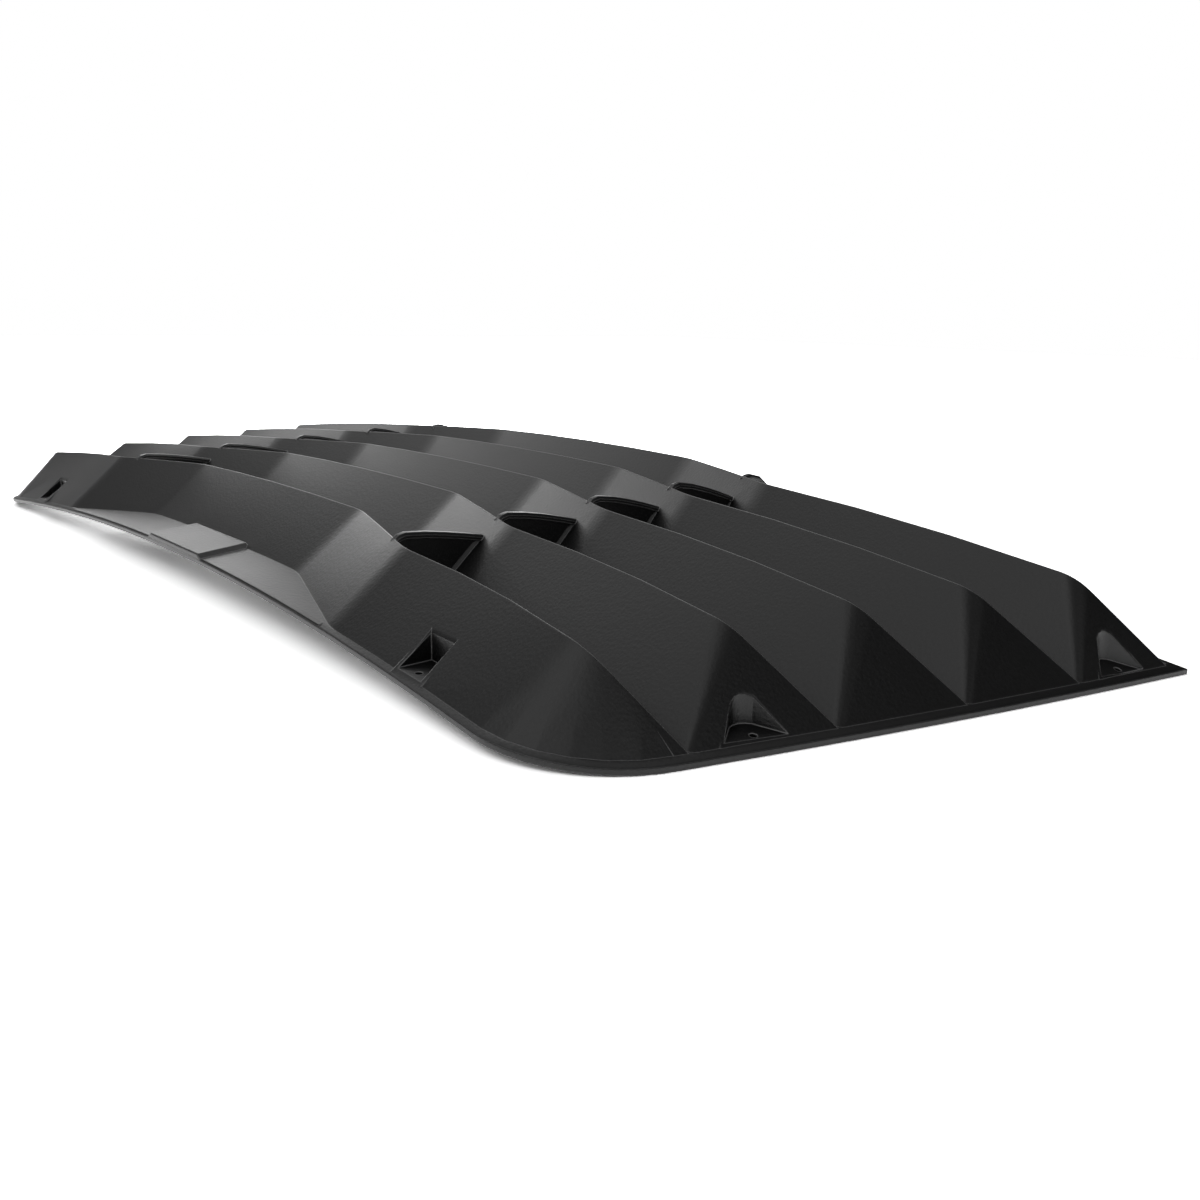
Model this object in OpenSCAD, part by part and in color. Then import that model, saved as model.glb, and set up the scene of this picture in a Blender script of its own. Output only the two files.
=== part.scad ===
// Rear window louver, moulded as one shell: a low rim that follows the glass, five tilted slats
// with a raised centre and folded-down ends, thin ribs between the slats and six screw pockets.
// Origin: under the middle of the louver, on the plane that the side rims lie on.
// X runs to the side, Y from the front edge to the rear edge, Z up.

/* [Outline] */
// Width over the rear corners
overall_w = 1244; // [1204:4:1284]
// Width that the side lines have at the front edge line
front_w = 1036; // [1014:2:1054]
// Depth from the front edge line to the rear corners
depth = 446; // [438:1:460]
// Radius of the arch across the width
arch_r = 5050; // [4200:50:7000]
// Radius of the front corners
corner_r = 87; // [79:1:93]
// How far the front edge is set back in the middle
front_bow = 10.5; // [6:0.5:14]
// How far the side edges swell outward
side_bow = 4; // [1:0.5:6]
// How far the rear edge bows to the rear in the middle
rear_bow = 20; // [16:1:26]

/* [Rim] */
// Height of the rim at the foot of the slats
rim_h = 5; // [4.4:0.1:6]
// Height of the upright outer face of the rim
rim_face = 3.1; // [2.4:0.1:3.4]
// Width of the rim band
rim_band = 9; // [8:0.5:9.5]
// Rounding of the outer top edge of the rim
rim_round = 1; // [0.6:0.1:1.6]
// Distance from the front edge to the foot of the slats
rim_step = 4.4; // [3.6:0.2:5.4]
// Distance from the side edges to the foot of the slats
side_step = 6.4; // [5.6:0.2:7]

/* [Slats] */
// Wall thickness of the slats
wall = 3; // [2.6:0.1:3.6]
// Distance from the front edge line to the first crest, at the centre
first_crest = 99.5; // [96:0.5:102]
// Growth of the spacing from one slat to the next
pitch_growth = 0.64; // [0:0.08:1.2]
// Crest height of the first slat above the base
crest_h_front = 48.3; // [45:0.5:52]
// Crest height of the last slat above the base
crest_h_rear = 55; // [52:0.5:58]
// Half width of the straight centre of a slat
centre_half = 152; // [146:1:158]
// Distance from the middle to the outer fold of the first slat
outer_half = 272.5; // [268:0.5:280]
// How far the crest of the first slat steps forward between the two folds
crest_step = 35.1; // [32:0.5:38]
// Distance from the side line to the end fold of the first slat
end_inset = 52.2; // [49.2:0.5:55.2]
// Slope of the first slat at the centre, in degrees
centre_slope = 38; // [36:0.5:41]
// Rearward swell of each crest between its outer fold and its end fold
crest_swell = 4; // [2:0.5:5]
// Length over which the folds of a slat are rounded
fold_round = 10; // [6:0.5:13]

/* [Ledge] */
// Distance from the front edge line to the foot of the first slat at the centre
ledge_depth = 48.4; // [46:0.4:52]
// Height of the ledge at the foot of the first slat
ledge_h = 7.6; // [7:0.1:8.4]
// Half width of the raised pad in the middle of the ledge
pad_half = 57; // [50:1:64]
// Height of the pad above the ledge
pad_h = 3.5; // [2.4:0.1:4]

/* [Ribs] */
// Distance from the middle to the rib plane
rib_x = 250; // [236:1:252]
// Thickness of a rib
rib_t = 4; // [3:0.2:5]
// Width of the rounded bead on a rib
bead_w = 7; // [6:0.2:8]
// How far a rib stands above the crest in front of it
rib_proud = 3.5; // [2.5:0.25:4.5]
// Radius of the fillet between a rib and the slat behind it
fillet_r = 5; // [3:0.25:6]

/* [Screw pockets] */
// Diameter of the screw holes
screw_d = 4.5; // [4:0.1:5]
// Width of the pockets in the first slat
pocket_w = 25; // [22:0.5:27]
// Distance from the middle to those pockets
pocket_x = 371; // [364:1:380]
// Length of the side pockets along the rim
side_pocket_l = 40; // [37:0.5:42]
// Thickness of the pocket walls and floors
pocket_wall = 3; // [2.6:0.1:3.2]
// Width of the bevelled lip round a pocket
pocket_lip = 0.7; // [0.4:0.1:1.2]

/* [Hidden] */
slats = 5;
half_rear = overall_w / 2;
taper = (overall_w - front_w) / 2 / depth;
side_angle = atan(taper);
corner_x = half_rear - (corner_r + (depth - corner_r) * sin(side_angle)) / cos(side_angle);
side_start = corner_r * (1 - sin(side_angle));
pitch = (depth - first_crest - 6 * pitch_growth) / (slats - 1);

// Small steps from slat to slat, and the places where a slat meets the rim
outer_growth = 2.2;
step_growth = 1.22;
inset_growth = 2.3;
slope_growth = 3;
kink_rise = 2.15;
end_step = 14.4;
fold_run = 57.3;
fold_run_growth = 5.75;
last_crest_end = depth - 12;
middle_y = (depth + rear_bow) / 2;
foot_h = rim_h;
bury = 0.25;
sink = 2.5;
fold_shift = 5;
foot_gap = 8;
hem = 0.4;
foot_in_c = 5;
foot_in_o = 2;

// Rounded edge over the face of the rim, as insets and heights in units of its rounding, and the
// turned edge of the crests, as steps outward and down in wall thicknesses
rim_edge = [[0, 0], [0.3, 0.5], [1.1, 0.9]];
crest_edge = [[0.35, 0.2], [0.5, 0.75]];

function side_line(y) = half_rear - taper * (depth - y);
function along_side(y) = max(0, min(1, (y - side_start) / (depth - side_start)));
function side_x(y) = side_line(y) + 4 * side_bow * along_side(y) * (1 - along_side(y));
function front_y(x) = front_bow * (1 - pow(x / corner_x, 2));
function rear_y(x) = depth + rear_bow * (1 - pow(x / half_rear, 2));

// Height of the arched base over a point: nought along both side rims
function rise(x, y) = (pow(side_x(y), 2) - x * x) / (2 * arch_r);
function on_arch(p) = [p[0], p[1], p[2] + rise(p[0], p[1])];

function unit(v) = v / norm(v);
function last(v) = v[len(v) - 1];
function toward(p, q, d) = p + unit(q - p) * d;
function between(a, b, n) = [for (i = [1:n]) a + (b - a) * i / (n + 1)];
function curve(a, q, b, t) = a * (1 - t) * (1 - t) + q * 2 * t * (1 - t) + b * t * t;
function fold(p, q, r, d, n) =
    [for (i = [0:n - 1]) curve(toward(q, p, d), q, toward(q, r, d), i / (n - 1))];

// Rim: stations of the edge line with the outward direction of each one
front_n = 8;
corner_n = 10;
side_n = 7;
rear_n = 7;

function side_lean(y) =
    taper + 4 * side_bow * (1 - 2 * along_side(y)) / (depth - side_start);
function side_out(y) = unit([1, -side_lean(y)]);
function rear_out(x) = unit([2 * rear_bow * x / half_rear / half_rear, 1]);
rear_corner_out = (side_out(depth) + rear_out(half_rear))
    / (1 + side_out(depth) * rear_out(half_rear));

half_rim = concat(
    [for (i = [0:front_n - 1])
        let (x = corner_x * i / front_n)
        [[x, front_y(x)], unit([-2 * front_bow * x / corner_x / corner_x, -1])]],
    [for (i = [0:corner_n])
        let (a = -90 + (90 - side_angle) * i / corner_n)
        [[corner_x + corner_r * cos(a), corner_r + corner_r * sin(a)], [cos(a), sin(a)]]],
    [for (i = [1:side_n - 1])
        let (y = side_start + (depth - side_start) * i / side_n)
        [[side_x(y), y], side_out(y)]],
    [[[half_rear, depth], rear_corner_out]],
    [for (i = [1:rear_n])
        let (x = half_rear * (1 - i / rear_n))
        [[x, rear_y(x)], rear_out(x)]]
);
flip_x = [-1, 1];
function flipped(s) =
    [[s[0][0] * flip_x[0], s[0][1]], [s[1][0] * flip_x[0], s[1][1]]];
full_rim = concat(
    half_rim,
    [for (i = [len(half_rim) - 2:-1:1]) flipped(half_rim[i])]
);
function rim_row(inset, h) =
    [for (s = full_rim) on_arch([each (s[0] - s[1] * inset), h])];

// A point of the line where the slats meet the rim, given by its distance along Y
function rim_point(y) = [side_x(y) - side_step, y, rim_h - bury];

// Folds of slat k: centre fold, outer fold, end fold, and the end of its crest at the rim
function crest_y(k) = first_crest + pitch * k + pitch_growth * k * (k - 1) / 2;
function crest_h(k) =
    crest_h_rear - (crest_h_rear - crest_h_front) * pow((slats - 1 - k) / (slats - 1), 2);
function fold_c(k) = [centre_half, crest_y(k), crest_h(k)];
function fold_o(k) =
    [outer_half + outer_growth * k, crest_y(k) - crest_step - step_growth * k, crest_h(k) + kink_rise];
function fold_n(k) =
    let (y = fold_o(k)[1] - end_step)
    [side_line(y) - end_inset + inset_growth * k, y, crest_h(k) + kink_rise];
function crest_end_y(k) =
    k == slats - 1 ? last_crest_end : fold_n(k + 1)[1] - fold_run + fold_run_growth * k;
function crest_end(k) = rim_point(crest_end_y(k));
function end_round(k) = k == 0 ? 2 * fold_round : 1.3 * fold_round;
function slope(k) = centre_slope + slope_growth * k;
function drop(k) = wall / cos(slope(k));

// Points along a line with folds at p, q and r, the same number of them for crests and feet
swell_n = 2;
fold_n_count = 5;
end_n = 7;
cheek_n = 2;

function crest_line(k) =
    let (
        m = [0, crest_y(k), crest_h(k)],
        at_c = fold(m, fold_c(k), fold_o(k), fold_round, fold_n_count),
        at_o = fold(fold_c(k), fold_o(k), fold_n(k), fold_round, fold_n_count),
        at_n = fold(fold_o(k), fold_n(k), crest_end(k), end_round(k), end_n),
        outer = between(last(at_o), at_n[0], swell_n)
    )
    concat(
        [m, (m + at_c[0]) / 2],
        at_c,
        between(last(at_c), at_o[0], 1),
        at_o,
        [for (i = [0:swell_n - 1])
            outer[i] + [0, crest_swell * sin(180 * (i + 1) / (swell_n + 1)), 0]],
        at_n,
        between(last(at_n), crest_end(k), cheek_n),
        [crest_end(k)]
    );

// Foot of the first slat: the ledge, the front rim, the corner and a short piece of the side
first_foot_c = [centre_half - foot_in_c, ledge_depth, ledge_h];
first_foot_o =
    let (x = outer_half - foot_in_o)
    [x, front_y(x) + rim_step, rim_h - bury];
function front_point(x) = [x, front_y(x) + rim_step, rim_h - bury];
function first_foot() =
    let (
        m = [0, ledge_depth, ledge_h],
        at_a = fold(m, first_foot_c, first_foot_o, fold_round, fold_n_count),
        at_f = fold(first_foot_c, first_foot_o, front_point(corner_x), fold_round, fold_n_count),
        x0 = last(at_f)[0]
    )
    concat(
        [m, (m + at_a[0]) / 2],
        at_a,
        between(last(at_a), at_f[0], 1),
        at_f,
        [for (i = [1:swell_n]) front_point(x0 + (corner_x - x0) * i / (swell_n + 1))],
        [for (i = [0:end_n - 1])
            let (
                a = -90 + (90 - side_angle) * i / (end_n - 1),
                r = corner_r - rim_step - (side_step - rim_step) * i / (end_n - 1)
            )
            [corner_x + r * cos(a), corner_r + r * sin(a), rim_h - bury]],
        [for (i = [1:cheek_n + 1])
            rim_point(side_start + (crest_end_y(0) - fold_shift - side_start) * i / (cheek_n + 1))]
    );

// Foot of any other slat: two folds, then the rim point where the crest in front of it ends
function foot_c(k) =
    [centre_half - foot_in_c, crest_y(k) - (crest_h(k) - foot_h) / tan(slope(k)), foot_h];
function foot_o(k) =
    let (
        e = crest_end(k - 1),
        o = fold_o(k),
        n = fold_n(k),
        x = o[0] - foot_in_o
    )
    [x, e[1] + (e[0] - x) * (o[1] - n[1]) / (n[0] - o[0]), foot_h];
function later_foot(k) =
    let (
        e = crest_end(k - 1),
        m = [0, foot_c(k)[1], foot_h],
        at_a = fold(m, foot_c(k), foot_o(k), fold_round, fold_n_count),
        at_f = fold(foot_c(k), foot_o(k), e, fold_round, fold_n_count),
        at_e = fold(foot_o(k), e, rim_point(e[1] + foot_gap), fold_shift, end_n)
    )
    concat(
        [m, (m + at_a[0]) / 2],
        at_a,
        between(last(at_a), at_f[0], 1),
        at_f,
        between(last(at_f), at_e[0], swell_n),
        at_e,
        between(last(at_e), rim_point(e[1] + foot_gap), cheek_n),
        [rim_point(e[1] + foot_gap)]
    );
function foot_line(k) = k == 0 ? first_foot() : later_foot(k);

// Adds the end buried in the rim, then the mirrored half
function with_end(row) = concat(row, [last(row) + [sink, 0, -sink]]);
function both_halves(row) = concat(
    [for (i = [len(row) - 1:-1:1]) [-row[i][0], row[i][1], row[i][2]]],
    row
);
function whole(row) = both_halves(with_end(row));

// Rows of slat k from its foot to its rounded crest; the crest edge is turned rearward and down
function crest_out(c, j) =
    let (
        a = c[max(0, j - 1)],
        b = c[min(len(c) - 1, j + 1)],
        d = j == 0 ? [1, 0] : unit([b[0] - a[0], b[1] - a[1]])
    )
    [-d[1], d[0], 0];
function nose(c, out, down) =
    [for (j = [0:len(c) - 1]) c[j] + crest_out(c, j) * out - [0, 0, down]];
function slat_rows(k) =
    let (
        c = crest_line(k),
        f = foot_line(k),
        n = len(c) - 1,
        buried = [for (j = [0:n])
            let (d = [f[j][0] - c[j][0], f[j][1] - c[j][1], 0])
            f[j] + unit(d) * sink - [0, 0, 0.9 * sink]],
        middle = [for (j = [0:n]) (c[j] + f[j]) / 2]
    )
    [for (row = concat(
        k == 0 ? [buried, f, middle] : [f],
        [c],
        [for (e = crest_edge) nose(c, e[0] * wall, e[1] * wall)]
    )) whole(row)];

// A closed sheet between two grids of points: rows run to +Y, columns to +X
function quad(a, b, c, d) = [[a, b, c], [a, c, d]];
function sheet_faces(rows, cols, closed) =
    let (
        n = rows * cols,
        w = closed ? cols : cols - 1,
        m = rows - 1
    )
    [
        for (i = [0:m - 1]) for (j = [0:w - 1])
            let (a = i * cols + j, d = i * cols + (j + 1) % cols)
            each quad(a, a + cols, d + cols, d),
        for (i = [0:m - 1]) for (j = [0:w - 1])
            let (a = n + i * cols + j, d = n + i * cols + (j + 1) % cols)
            each quad(d, d + cols, a + cols, a),
        for (j = [0:w - 1])
            let (a = j, d = (j + 1) % cols)
            each quad(n + a, a, d, n + d),
        for (j = [0:w - 1])
            let (a = m * cols + j, d = m * cols + (j + 1) % cols)
            each quad(n + d, d, a, n + a),
        if (!closed) for (i = [0:m - 1])
            let (a = i * cols, b = a + cols)
            each quad(n + b, b, a, n + a),
        if (!closed) for (i = [0:m - 1])
            let (a = i * cols + cols - 1, b = a + cols)
            each quad(n + a, a, b, n + b)
    ];
module sheet(top, bottom, closed = false)
    polyhedron(
        points = concat([for (r = top) each r], [for (r = bottom) each r]),
        faces = sheet_faces(len(top), len(top[0]), closed)
    );
function bent(rows) = [for (r = rows) [for (p = r) on_arch(p)]];
function lowered(rows, d, floor_h) =
    [for (r = rows) [for (p = r) [p[0], p[1], max(floor_h, p[2] - d)]]];

// Rim: an upright face, a rounded edge and a band that slopes up to the foot of the slats
rim_profile = [
    for (e = rim_edge) [e[0] * rim_round, rim_face + e[1] * rim_round],
    [rim_step, rim_h],
    [rim_band, rim_h]
];
module rim()
    sheet(
        [for (p = rim_profile) rim_row(p[0], p[1])],
        [for (p = rim_profile) rim_row(p[0], 0)],
        closed = true
    );

module slat(k)
    sheet(bent(slat_rows(k)), bent(lowered(slat_rows(k), drop(k), hem)));

// Ledge in front of the first slat, with the raised pad in its middle
ledge_n = 8;
ledge_end = 12;
ledge_half = outer_half - ledge_end;
function first_foot_y(x) =
    abs(x) < first_foot_c[0]
        ? ledge_depth
        : ledge_depth - (abs(x) - first_foot_c[0])
            * (ledge_depth - first_foot_o[1]) / (first_foot_o[0] - first_foot_c[0]);
function ledge_top(x, y) =
    let (y0 = front_y(x))
    rim_h - bury + (ledge_h - rim_h + bury) * (y - y0 - rim_step) / (ledge_depth - y0 - rim_step);
// Its front edge stands a little above the rim and is bevelled
ledge_edge = [[0.5, -1.2], [1.4, 0]];
function ledge_rows() =
    let (xs = [for (i = [-ledge_n:ledge_n]) ledge_half * i / ledge_n])
    [
        for (e = ledge_edge) [for (x = xs) [x, front_y(x) + e[0], rim_h - bury + e[1]]],
        [for (x = xs) [x, first_foot_y(x) + sink, ledge_top(x, first_foot_y(x) + sink)]]
    ];
module ledge()
    sheet(bent(ledge_rows()), bent(lowered(ledge_rows(), wall, hem)));

// Pad: its front face stands just behind the face of the rim, and its ends slope down
pad_edge = [[0.25, -1.4], [0.6, -0.5], [1.4, 0]];
pad_end_run = 1.5;
pad_root = 20;
function pad_place(x, y, up) = [x, y, ledge_top(x, y) - bury + up];
function pad_xs() =
    let (x = pad_half - pad_end_run * pad_h)
    [[-pad_half, 0], [-x, 1], [x, 1], [pad_half, 0]];
function pad_rows() = [
    for (e = pad_edge)
        [for (c = pad_xs()) pad_place(c[0], front_y(c[0]) + e[0], c[1] * (pad_h + e[1]))],
    [for (c = pad_xs()) pad_place(c[0], first_foot_y(c[0]) + sink, c[1] * pad_h)]
];
module pad()
    sheet(bent(pad_rows()), bent(lowered(pad_rows(), pad_root, hem)));

// Ribs: a thin upright plate with a rounded bead, from each crest to the slat behind it
function share(k, x) = (x - centre_half) / (fold_o(k)[0] - centre_half);
function crest_at(k, x) =
    let (p = fold_c(k) + (fold_o(k) - fold_c(k)) * share(k, x))
    [p[1], p[2]];
function foot_at(k, x) =
    k == 0
        ? [first_foot_y(x), rim_h]
        : [foot_c(k)[1] + (foot_o(k)[1] - foot_c(k)[1]) * share(k, x), foot_h];
function slat_h(k, x, y) =
    let (c = crest_at(k, x), f = foot_at(k, x))
    c[1] - (c[0] - y) * (c[1] - f[1]) / (c[0] - f[0]);

// Side view of a rib: it leaves the crest, rises over its lead, falls in a curve and ends inside
// the slat behind it; the one at the rear falls to the rim
rib_bite = [-1.5, -1];
rib_rise = [2.5, 0.65];
rib_lead = 8;
rib_reach = 14;
rib_landing = 2.4;
rib_end = 2.5;
rib_fall_n = 4;
rib_fall = 1.35;
rear_share = 0.35;
rear_gap = 4;
function proud(k) = rib_proud * (k == slats - 1 ? rear_share : 1);
function rib_rear_y(k) = crest_at(k + 1, rib_x)[0] - rib_reach;
function rib_start(k) =
    let (c = crest_at(k, rib_x))
    [
        c + rib_bite,
        c + [rib_rise[0], rib_rise[1] * proud(k)],
        c + [rib_lead, proud(k)]
    ];
function rib_between(k) =
    let (
        a = last(rib_start(k)),
        y = rib_rear_y(k),
        h = slat_h(k + 1, rib_x, y) + rib_landing,
        e = y + rib_end
    )
    concat(
        rib_start(k),
        [for (i = [1:rib_fall_n])
            let (u = i / rib_fall_n)
            [a[0] + (y - a[0]) * u, a[1] - (a[1] - h) * pow(u, rib_fall)]],
        [[e, slat_h(k + 1, rib_x, e) - 0.5 * wall]]
    );
function rib_rear(k) =
    let (
        a = last(rib_start(k)),
        y = rear_y(rib_x) - rear_gap,
        n = rib_fall_n + 1
    )
    concat(
        rib_start(k),
        [for (i = [1:n])
            let (t = 90 * i / n)
            [a[0] + (y - a[0]) * sin(t), rim_h - bury + (a[1] - rim_h) * cos(t)]]
    );
function rib_line(k) = k == slats - 1 ? rib_rear(k) : rib_between(k);

// Cross-section of the bead: places across it in half widths, drops in rib thicknesses
bead_section = [[-1, 0.45], [-0.5, 0], [0.5, 0], [1, 0.45]];
module bead(k) {
    line = rib_line(k);
    rows = [for (p = line)
        [for (s = bead_section) [rib_x + s[0] * bead_w / 2, p[0], p[1] - s[1] * rib_t]]];
    floors = [for (p = line)
        [for (s = bead_section) [rib_x + s[0] * bead_w / 2, p[0], max(hem, p[1] - rib_t)]]];
    sheet(bent(rows), bent(floors));
}

// The plate runs from inside its own slat to inside the slat behind it
plate_low = 3;
plate_lap = 3;
plate_least = 0.3;
function plate_sheet(heights, ys) =
    [for (i = [0:len(ys) - 1]) [for (s = [-1, 1]) [rib_x + s * rib_t / 2, ys[i], heights[i]]]];
module rib_plate(k) {
    line = rib_line(k);
    c = crest_at(k, rib_x);
    start = (c[0] + foot_at(k, rib_x)[0]) / 2;
    next_y = (k == slats - 1 ? last(line)[0] : foot_at(k + 1, rib_x)[0]) + plate_lap;
    low_start = slat_h(k, rib_x, start) - 0.75 * drop(k);
    inner = [for (y = [start, (start + c[0]) / 2]) [y, slat_h(k, rib_x, y) - 0.5 * drop(k)]];
    side = concat(inner, [for (p = line) [p[0], max(p[1] - 0.4 * rib_t, hem + 1)]]);
    function low(y) =
        y < next_y
            ? low_start + (plate_low - low_start) * (y - start) / (next_y - start)
            : slat_h(k + 1, rib_x, y) - 0.6 * drop(k + 1);
    ys = [for (p = side) p[0]];
    sheet(
        bent(plate_sheet([for (p = side) p[1]], ys)),
        bent(plate_sheet([for (p = side) min(max(low(p[0]), hem), p[1] - plate_least)], ys))
    );
}

// Fillet along the joint of a rib and the slat behind it, thinning out toward the rear
fillet_n = 2;
fillet_rows = 2;
fillet_fade = 9;
fillet_least = 0.15;
function fillet_half(r) = [
    [rib_t / 2 + r + wall / 6, -wall / 6],
    for (i = [0:fillet_n])
        let (a = 90 * i / fillet_n)
        [rib_t / 2 + r * (1 - sin(a)), r * (1 - cos(a))]
];
function fillet_profile(r) =
    let (h = fillet_half(r))
    concat([for (c = h) [-c[0], c[1]]], [for (i = [len(h) - 1:-1:0]) h[i]]);
function fillet_row(k, y, profile) =
    [for (c = profile) [rib_x + c[0], y, slat_h(k + 1, rib_x + c[0], y) + c[1]]];
module fillet(k) {
    y0 = foot_at(k + 1, rib_x)[0] + fillet_r;
    y1 = rib_rear_y(k);
    y_fade = y1 - fillet_fade;
    ys = [for (i = [0:fillet_rows - 1]) y0 + (y_fade - y0) * i / (fillet_rows - 1), y1];
    profiles = [for (y = ys)
        fillet_profile(fillet_r * max(fillet_least, min(1, (y1 - y) / fillet_fade)))];
    sheet(
        bent([for (i = [0:fillet_rows]) fillet_row(k, ys[i], profiles[i])]),
        bent([for (i = [0:fillet_rows])
            fillet_row(k, ys[i], [for (c = profiles[i]) [c[0], -wall / 2]])])
    );
}

module rib(k) {
    rib_plate(k);
    bead(k);
    if (k < slats - 1)
        fillet(k);
}

// Screw pockets: wells sunk into a slat; the floors lie along the glass, the side ones tilted more
front_pocket_y = [8.3, 31.8];
front_pocket = [
    [pocket_x - pocket_w / 2, front_pocket_y[0]],
    [pocket_x + pocket_w / 2, front_pocket_y[0]],
    [pocket_x + pocket_w / 2, front_pocket_y[1]],
    [pocket_x - pocket_w / 2, front_pocket_y[1]]
];
front_floor = 6.6;
front_hole = [pocket_x + 0.9, 14.6];
side_floor = 6.5;
floor_t = 1.2 * pocket_wall;
side_slats = [1, slats - 1];

// Side pockets: their ends on the rim, then a rounded back between two slanting walls, given by
// shares of the length and of the depth
side_pocket_start = 20;
side_pocket_in = [0.6, 1.4];
side_back = [[0.18, 0.9], [0, 1.12], [-0.18, 0.86]];
side_back_n = 4;
hole_share = 0.54;
hole_in = 5.4;
function side_depth(k) = 19.5 - 0.5 * k;
function side_tilt(k) = 0.05 * k;
function apex_share(k) = 0.61 - 0.03 * k;
function side_y(k, t) = crest_end_y(k - 1) + side_pocket_start + t * side_pocket_l;
function side_place(k, t, d) = [rim_point(side_y(k, t))[0] - d, side_y(k, t)];
function side_pocket(k) =
    let (b = [for (s = side_back) side_place(k, apex_share(k) + s[0], s[1] * side_depth(k))])
    concat(
        [side_place(k, 0, side_pocket_in[0]), side_place(k, 1, side_pocket_in[1])],
        [for (i = [0:side_back_n]) curve(b[0], b[1], b[2], i / side_back_n)]
    );
function side_hole(k) = side_place(k, hole_share, hole_in);

// An outline moved outward by d, with its sharp corners cut short
mitre_least = 0.7;
function edge_out(p, q) =
    let (u = unit(q - p))
    [u[1], -u[0]];
function grown(poly, d) =
    let (n = len(poly))
    [for (i = [0:n - 1])
        let (
            a = edge_out(poly[(i + n - 1) % n], poly[i]),
            b = edge_out(poly[i], poly[(i + 1) % n])
        )
        poly[i] + (a + b) * d / max(mitre_least, 1 + a * b)];
function centre(poly) =
    [for (i = [0:1]) [for (p = poly) p[i]] * [for (p = poly) 1] / len(poly)];

// Height of a plane that lies along the glass under a pocket
function glass_h(poly, p) =
    let (c = centre(poly), g = [-c[0], side_x(c[1]) * taper] / arch_r)
    rise(c[0], c[1]) + g * (p - c);

// Height of the outer panel of the first slat and of the end panel of slat k
function first_panel_h(p) =
    let (
        f = front_point(p[0]),
        o = fold_o(0),
        n = fold_n(0),
        t = (p[0] - o[0]) / (n[0] - o[0]),
        y = o[1] + (n[1] - o[1]) * t + crest_swell * sin(180 * t)
    )
    rise(p[0], p[1]) + f[2] + (o[2] - f[2]) * (p[1] - f[1]) / (y - f[1]);
function end_panel_h(k, p) =
    let (
        a = crest_end(k - 1),
        v = cross(crest_end(k) - a, fold_n(k) - a)
    )
    rise(p[0], p[1]) + a[2] - (v[0] * (p[0] - a[0]) + v[1] * (p[1] - a[1])) / v[2];
function panel_h(k, p) = k == 0 ? first_panel_h(p) : end_panel_h(k, p);
function pocket(k) = k == 0 ? front_pocket : side_pocket(k);
function pocket_floor(k, p) =
    glass_h(pocket(k), p)
    + (k == 0 ? front_floor : side_floor + side_tilt(k) * (side_hole(k)[0] - p[0]));
function pocket_hole(k) = k == 0 ? front_hole : side_hole(k);

// A solid between two outlines of the same number of points
module loft(low, high) {
    n = len(low);
    polyhedron(
        points = concat(low, high),
        faces = concat(
            [for (i = [1:n - 2]) [0, i, i + 1]],
            [for (i = [1:n - 2]) [n, n + i + 1, n + i]],
            [for (i = [0:n - 1])
                let (j = (i + 1) % n)
                each quad(i, n + i, n + j, j)]
        )
    );
}
function level(poly, heights) =
    [for (i = [0:len(poly) - 1]) [poly[i][0], poly[i][1], heights[i]]];

well_top = 60;
wall_sink = 0.6;
front_lip = 2;
floor_lap = 0.7;
module pocket_wall(k) {
    outline = grown(pocket(k), pocket_wall);
    floors = [for (p = outline) pocket_floor(k, p)];
    loft(
        level(outline, [for (h = floors) h - floor_t]),
        level(outline, [for (i = [0:len(outline) - 1])
            max(panel_h(k, outline[i]) - wall_sink * wall, floors[i] - floor_lap * floor_t)])
    );
}
module pocket_cut(k) {
    outline = pocket(k);
    loft(
        level(outline, [for (p = outline) pocket_floor(k, p)]),
        level(outline, [for (p = outline) pocket_floor(k, p) + well_top])
    );
    lip_w = pocket_lip * (k == 0 ? front_lip : 1);
    lip = grown(outline, 2 * lip_w);
    loft(
        level(outline, [for (p = outline) max(panel_h(k, p) - lip_w, pocket_floor(k, p))]),
        level(lip, [for (i = [0:len(lip) - 1])
            max(panel_h(k, lip[i]), pocket_floor(k, outline[i])) + lip_w])
    );
}
module screw_hole(k) {
    at = pocket_hole(k);
    translate([at[0], at[1], pocket_floor(k, at) - 2 * floor_t])
        cylinder(d = screw_d, h = 3 * floor_t, $fn = 48);
}

pocket_slats = concat([0], side_slats);
module half_fittings() {
    for (k = [0:slats - 1])
        rib(k);
    for (k = pocket_slats)
        pocket_wall(k);
}

module half_cuts() {
    for (k = pocket_slats) {
        pocket_cut(k);
        screw_hole(k);
    }
}

module louver_shell()
    color("DimGray")
        translate([0, -middle_y, 0])
            difference() {
                union() {
                    rim();
                    for (k = [0:slats - 1])
                        slat(k);
                    ledge();
                    pad();
                    half_fittings();
                    mirror([1, 0, 0])
                        half_fittings();
                }
                half_cuts();
                mirror([1, 0, 0])
                    half_cuts();
            }

louver_shell();
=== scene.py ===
import math

import bpy
from mathutils import Matrix, Vector

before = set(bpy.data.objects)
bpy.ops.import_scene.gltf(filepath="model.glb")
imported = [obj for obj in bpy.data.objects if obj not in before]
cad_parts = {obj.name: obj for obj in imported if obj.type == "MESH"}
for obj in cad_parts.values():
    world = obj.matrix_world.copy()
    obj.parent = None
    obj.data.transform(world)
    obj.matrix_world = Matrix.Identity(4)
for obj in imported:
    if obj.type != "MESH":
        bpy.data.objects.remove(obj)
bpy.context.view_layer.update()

NODE = "louver_shell"

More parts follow.
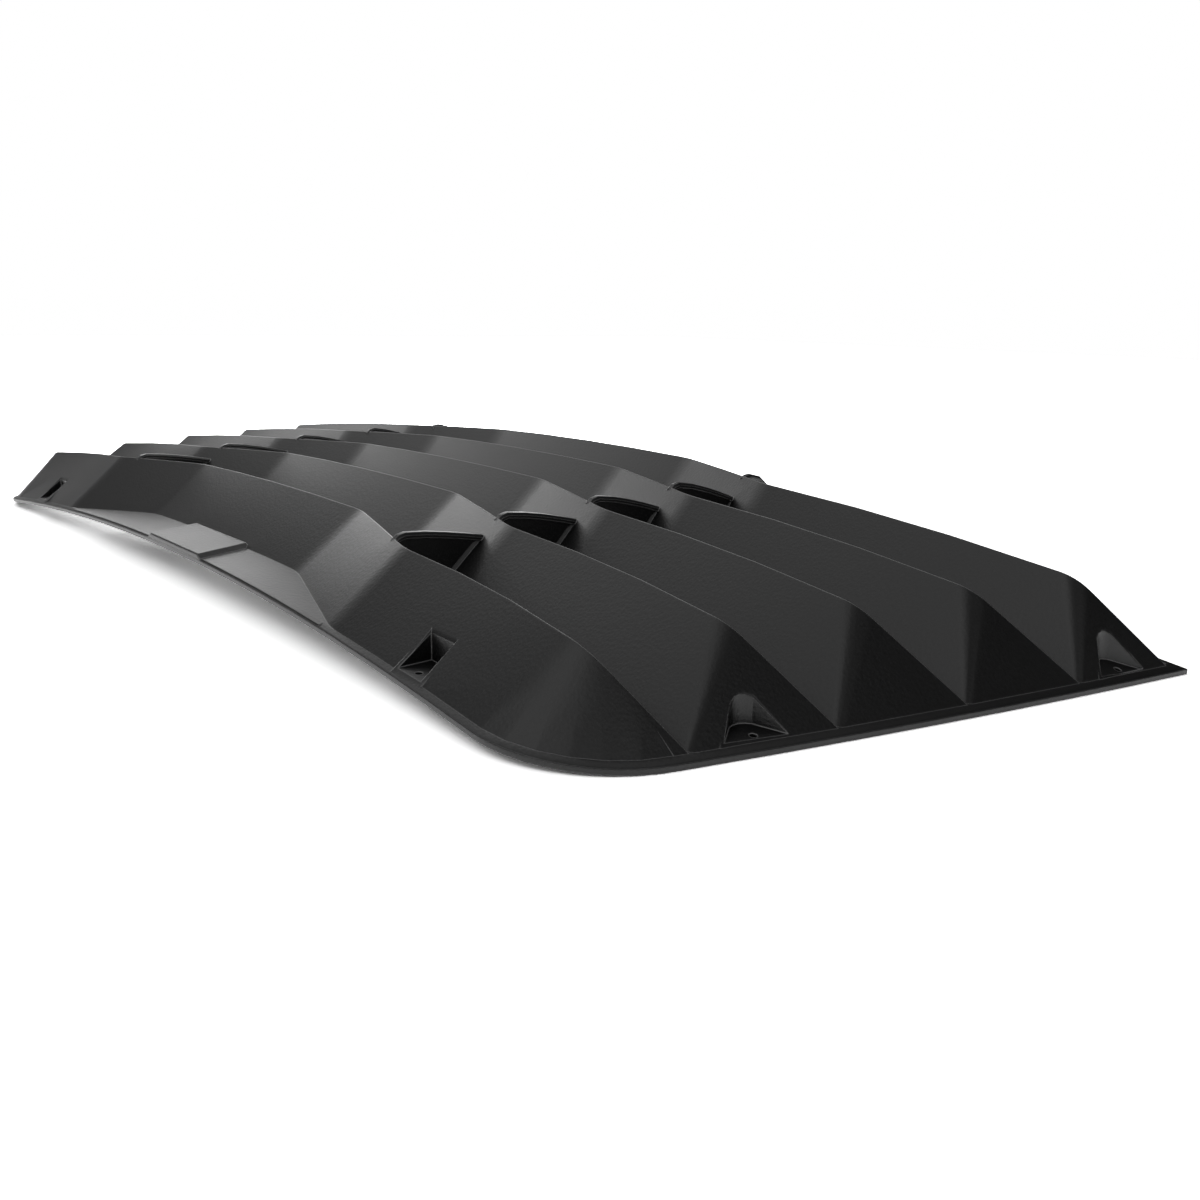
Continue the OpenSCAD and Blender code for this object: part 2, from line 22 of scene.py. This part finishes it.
# Camera: its angles and place were fitted to the photograph, in axes tilted with the glass
CAM_YAW = 49.684
CAM_PITCH = 15.338
CAM_TILT = 1.503
CAM_PLACE = (0.9065, -0.3026, 0.2045)
CAM_SHIFT = (0.0, -0.233, 0.0266)
CAM_LENS = 33.75
CAM_SENSOR = 36.0
CAM_CLIP = (0.01, 100.0)

# Soft lights far off: elevation and azimuth in degrees, tightness (the power of the cosine)
# and radiance
FAR_LIGHTS = [
    (4, 40, 150, 0.60),
    (4, 220, 150, 0.60),
    (25, 0, 24, 0.84),
    (45, 0, 24, 0.52),
    (45, 216, 24, 0.52),
    (45, 252, 24, 1.06),
    (45, 288, 24, 0.87),
    (45, 324, 24, 0.50),
    (66, 120, 24, 0.74),
    (66, 240, 24, 0.73),
    (3, 180, 90, 1.00),
    (4, 171, 150, 0.15),
    (12, 180, 90, 0.33),
    (36, 184, 90, 0.43),
    (48, 184, 90, 1.00),
]
# Soft boxes near the louver: elevation and azimuth in degrees, distance from its middle
# and power
NEAR_LIGHTS = [
    (12, 140, 1.3, 3.3),
    (12, 170, 1.3, 2.3),
    (60, 140, 1.1, 1.6),
    (35, 170, 0.8, 0.7),
]
BOX_SIZE = 0.5
BOX_AIM = (0.0, 0.0, 0.04)

# Dark room with a pale floor: radiance of its walls, and the floor's size, the colour that
# it passes on as light, and the brighter one that the camera and the reflections see
ROOM = 0.03
WHITE = (1.0, 1.0, 1.0, 1.0)
FLOOR_SIZE = 14.0
FLOOR_COLOR = (0.9, 0.9, 0.9, 1.0)
FLOOR_SEEN = (3.2, 3.2, 3.2, 1.0)

# Moulded plastic
PLASTIC_DARK = (0.0025, 0.0025, 0.0027, 1.0)
PLASTIC_LIGHT = (0.0045, 0.0045, 0.0047, 1.0)
# Pale colour painted on the edges as a highlight
PLASTIC_EDGE_HIGHLIGHT = (0.25, 0.25, 0.252, 1.0)
PLASTIC_IOR = 1.5
ROUGHNESS = (0.36, 0.40)
MOTTLE_SCALE = 7.0
MOTTLE_DETAIL = 5.0
MOTTLE_SPAN = (0.3, 0.7)
GRAIN_SCALE = 650.0
GRAIN_DETAIL = 3.0
PIT_SCALE = 0.6 * GRAIN_SCALE
GRAIN_DEPTH = 0.00018
GRAIN_STRENGTH = 0.40
# Edges: radius of the softened edge, and the cosines of its turn between which a pale painted
# highlight comes in
EDGE_RADIUS = 0.0014
EDGE_SAMPLES = 8
HIGHLIGHT_TURN = (0.985, 0.88)

# Smooth shading: angle in degrees from which an edge stays sharp, and how finely points,
# facet normals and plane distances are told apart, in steps to a metre or to 1
SHARP_ANGLE = 22.0
POINT_STEPS = 1.0e6
NORMAL_STEPS = 100.0
REACH_STEPS = 2000.0


def nodes_of(tree):
    """Empties a node tree and returns a function that adds a node with its settings."""
    tree.nodes.clear()

    def add(kind, inputs=(), **settings):
        node = tree.nodes.new(kind)
        for name, value in settings.items():
            setattr(node, name, value)
        for name, value in dict(inputs).items():
            if isinstance(value, bpy.types.NodeSocket):
                tree.links.new(value, node.inputs[name])
            else:
                node.inputs[name].default_value = value
        return node

    return add


def blend(add, factor, low, high):
    """Colour between two others, by the inputs' places because their names repeat."""
    return add("ShaderNodeMix", {0: factor, 6: low, 7: high}, data_type="RGBA").outputs[2]


def spread(add, value, source, target):
    """Value moved from one range to another and kept inside it."""
    node = add(
        "ShaderNodeMapRange",
        {
            "Value": value,
            "From Min": source[0],
            "From Max": source[1],
            "To Min": target[0],
            "To Max": target[1],
        },
    )
    return node.outputs["Result"]


def toward(elevation, azimuth):
    """Unit vector at an elevation and an azimuth from +X, in degrees."""
    high, turn = math.radians(elevation), math.radians(azimuth)
    return Vector((
        math.cos(high) * math.cos(turn),
        math.cos(high) * math.sin(turn),
        math.sin(high),
    ))


def plastic():
    """Satin black moulded plastic: fine grain, faint flow mottling, and softened edges with a pale
    painted highlight.
    """
    mat = bpy.data.materials.new("satin_black_plastic")
    mat.use_nodes = True
    add = nodes_of(mat.node_tree)
    coord = add("ShaderNodeTexCoord").outputs["Object"]
    mottle = add(
        "ShaderNodeTexNoise",
        {"Vector": coord, "Scale": MOTTLE_SCALE, "Detail": MOTTLE_DETAIL},
    ).outputs["Fac"]
    grain = add(
        "ShaderNodeTexNoise",
        {"Vector": coord, "Scale": GRAIN_SCALE, "Detail": GRAIN_DETAIL},
    ).outputs["Fac"]
    pits = add("ShaderNodeTexVoronoi", {"Vector": coord, "Scale": PIT_SCALE}).outputs["Distance"]

    soft = add("ShaderNodeBevel", {"Radius": EDGE_RADIUS}, samples=EDGE_SAMPLES).outputs["Normal"]
    plain = add("ShaderNodeNewGeometry").outputs["Normal"]
    turn = add("ShaderNodeVectorMath", {0: soft, 1: plain}, operation="DOT_PRODUCT")
    # Painted highlight: where the softened normal turns away from the plain one, the edge is
    # painted pale
    painted_highlight = spread(add, turn.outputs["Value"], HIGHLIGHT_TURN, (0.0, 1.0))

    colour = blend(add, mottle, PLASTIC_DARK, PLASTIC_LIGHT)
    surface = add("ShaderNodeMath", {0: grain, 1: pits}, operation="ADD").outputs["Value"]
    bump = add(
        "ShaderNodeBump",
        {
            "Strength": GRAIN_STRENGTH,
            "Distance": GRAIN_DEPTH,
            "Height": surface,
            "Normal": soft,
        },
    )
    shader = add(
        "ShaderNodeBsdfPrincipled",
        {
            # the edges' painted highlight blended over the plastic colour
            "Base Color": blend(add, painted_highlight, colour, PLASTIC_EDGE_HIGHLIGHT),
            "Roughness": spread(add, mottle, MOTTLE_SPAN, ROUGHNESS),
            "Normal": bump.outputs["Normal"],
            "IOR": PLASTIC_IOR,
        },
    )
    add("ShaderNodeOutputMaterial", {"Surface": shader.outputs["BSDF"]})
    return mat


def floor_material():
    """Pale floor that the camera and the reflections see as white, with the shadow kept."""
    mat = bpy.data.materials.new("studio_floor")
    mat.use_nodes = True
    add = nodes_of(mat.node_tree)
    lit = add("ShaderNodeBsdfDiffuse", {"Color": FLOOR_COLOR})
    white = add("ShaderNodeBsdfDiffuse", {"Color": FLOOR_SEEN})
    rays = add("ShaderNodeLightPath").outputs
    seen = add(
        "ShaderNodeMath",
        {0: rays["Is Camera Ray"], 1: rays["Is Glossy Ray"]},
        operation="MAXIMUM",
    )
    mixed = add("ShaderNodeMixShader", {0: seen.outputs[0], 1: lit.outputs[0], 2: white.outputs[0]})
    add("ShaderNodeOutputMaterial", {"Surface": mixed.outputs[0]})
    return mat


def far_light(add, direction, elevation, azimuth, tightness, radiance):
    """Radiance that one far light adds in a direction."""
    near = add(
        "ShaderNodeVectorMath",
        {0: direction, 1: toward(elevation, azimuth)},
        operation="DOT_PRODUCT",
    )
    front = add("ShaderNodeMath", {0: near.outputs["Value"], 1: 0.0}, operation="MAXIMUM")
    lobe = add("ShaderNodeMath", {0: front.outputs[0], 1: float(tightness)}, operation="POWER")
    return add("ShaderNodeMath", {0: lobe.outputs[0], 1: radiance}, operation="MULTIPLY").outputs[0]


def studio():
    """White to the camera; on the object, the far lights before a dark room."""
    world = bpy.data.worlds.new("studio")
    bpy.context.scene.world = world
    world.use_nodes = True
    add = nodes_of(world.node_tree)
    direction = add("ShaderNodeTexCoord").outputs["Generated"]
    total = add("ShaderNodeValue").outputs[0]
    total.default_value = ROOM
    for light in FAR_LIGHTS:
        part = far_light(add, direction, *light)
        total = add("ShaderNodeMath", {0: total, 1: part}, operation="ADD").outputs[0]
    lights = add("ShaderNodeBackground", {"Color": WHITE, "Strength": total})
    white = add("ShaderNodeBackground", {"Color": WHITE, "Strength": 1.0})
    seen = add("ShaderNodeLightPath").outputs["Is Camera Ray"]
    mixed = add("ShaderNodeMixShader", {0: seen, 1: lights.outputs[0], 2: white.outputs[0]})
    add("ShaderNodeOutputWorld", {"Surface": mixed.outputs[0]})


def floor():
    bpy.ops.mesh.primitive_plane_add(size=FLOOR_SIZE)
    plane = bpy.context.object
    plane.name = "studio_floor"
    plane.data.materials.append(floor_material())


def near_light(number, elevation, azimuth, distance, power):
    """A soft box that lights the louver from nearby and isn't seen by the camera."""
    data = bpy.data.lights.new(f"soft_box_{number}", "AREA")
    data.size = BOX_SIZE
    data.energy = power
    lamp = bpy.data.objects.new(data.name, data)
    bpy.context.collection.objects.link(lamp)
    way = toward(elevation, azimuth)
    lamp.location = Vector(BOX_AIM) + way * distance
    lamp.rotation_mode = "QUATERNION"
    lamp.rotation_quaternion = (-way).to_track_quat("-Z", "Y")
    lamp.visible_camera = False


def camera():
    yaw, pitch = math.radians(CAM_YAW), math.radians(CAM_PITCH)
    tilt = Matrix.Rotation(math.radians(CAM_TILT), 3, "X")
    back = Vector((
        math.sin(yaw) * math.cos(pitch),
        -math.cos(yaw) * math.cos(pitch),
        math.sin(pitch),
    ))
    right = Vector((math.cos(yaw), math.sin(yaw), 0.0))
    up = back.cross(right)
    turn = Matrix((tilt @ right, tilt @ up, tilt @ back)).transposed()
    place = tilt @ Vector(CAM_PLACE) + Vector(CAM_SHIFT)
    data = bpy.data.cameras.new("camera")
    data.sensor_width = CAM_SENSOR
    data.lens = CAM_LENS
    data.clip_start, data.clip_end = CAM_CLIP
    cam = bpy.data.objects.new("camera", data)
    bpy.context.collection.objects.link(cam)
    cam.matrix_world = Matrix.Translation(place) @ turn.to_4x4()
    bpy.context.scene.camera = cam


def corner_angle(points, i):
    """Angle of a facet at its corner i."""
    ahead = points[(i + 1) % len(points)] - points[i]
    behind = points[i - 1] - points[i]
    return ahead.angle(behind, 0.0)


def plane_of(face):
    """Names the plane of a facet, so that the pieces of a cut facet count as one."""
    reach = face.normal.dot(face.center)
    return tuple(round(n * NORMAL_STEPS) for n in face.normal) + (round(reach * REACH_STEPS),)


def facet_corners(mesh):
    """Gathers, at each place where facets meet, their normals, shares and loops."""
    planes = {}
    for face in mesh.polygons:
        planes[plane_of(face)] = planes.get(plane_of(face), 0.0) + face.area
    corners = {}
    for face in mesh.polygons:
        points = [mesh.vertices[v].co for v in face.vertices]
        for i, point in enumerate(points):
            share = planes[plane_of(face)] * corner_angle(points, i)
            place = tuple(round(c * POINT_STEPS) for c in point)
            corners.setdefault(place, []).append((face.normal.copy(), share, face.loop_indices[i]))
    return corners


def soften(mesh, limit):
    """Shades facets as one surface where they meet at less than the limit; no point moves."""
    blunt = math.cos(math.radians(limit))
    normals = [None] * len(mesh.loops)
    for group in facet_corners(mesh).values():
        for normal, _, loop in group:
            near = [n * share for n, share, _ in group if n.dot(normal) > blunt]
            normals[loop] = sum(near, Vector()).normalized() if near else normal
    mesh.shade_smooth()
    mesh.normals_split_custom_set(normals)


def dress():
    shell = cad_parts[NODE]
    shell.data.materials.clear()
    shell.data.materials.append(plastic())
    soften(shell.data, SHARP_ANGLE)


bpy.context.scene.view_settings.view_transform = "Standard"
dress()
floor()
studio()
for number, light in enumerate(NEAR_LIGHTS, 1):
    near_light(number, *light)
camera()
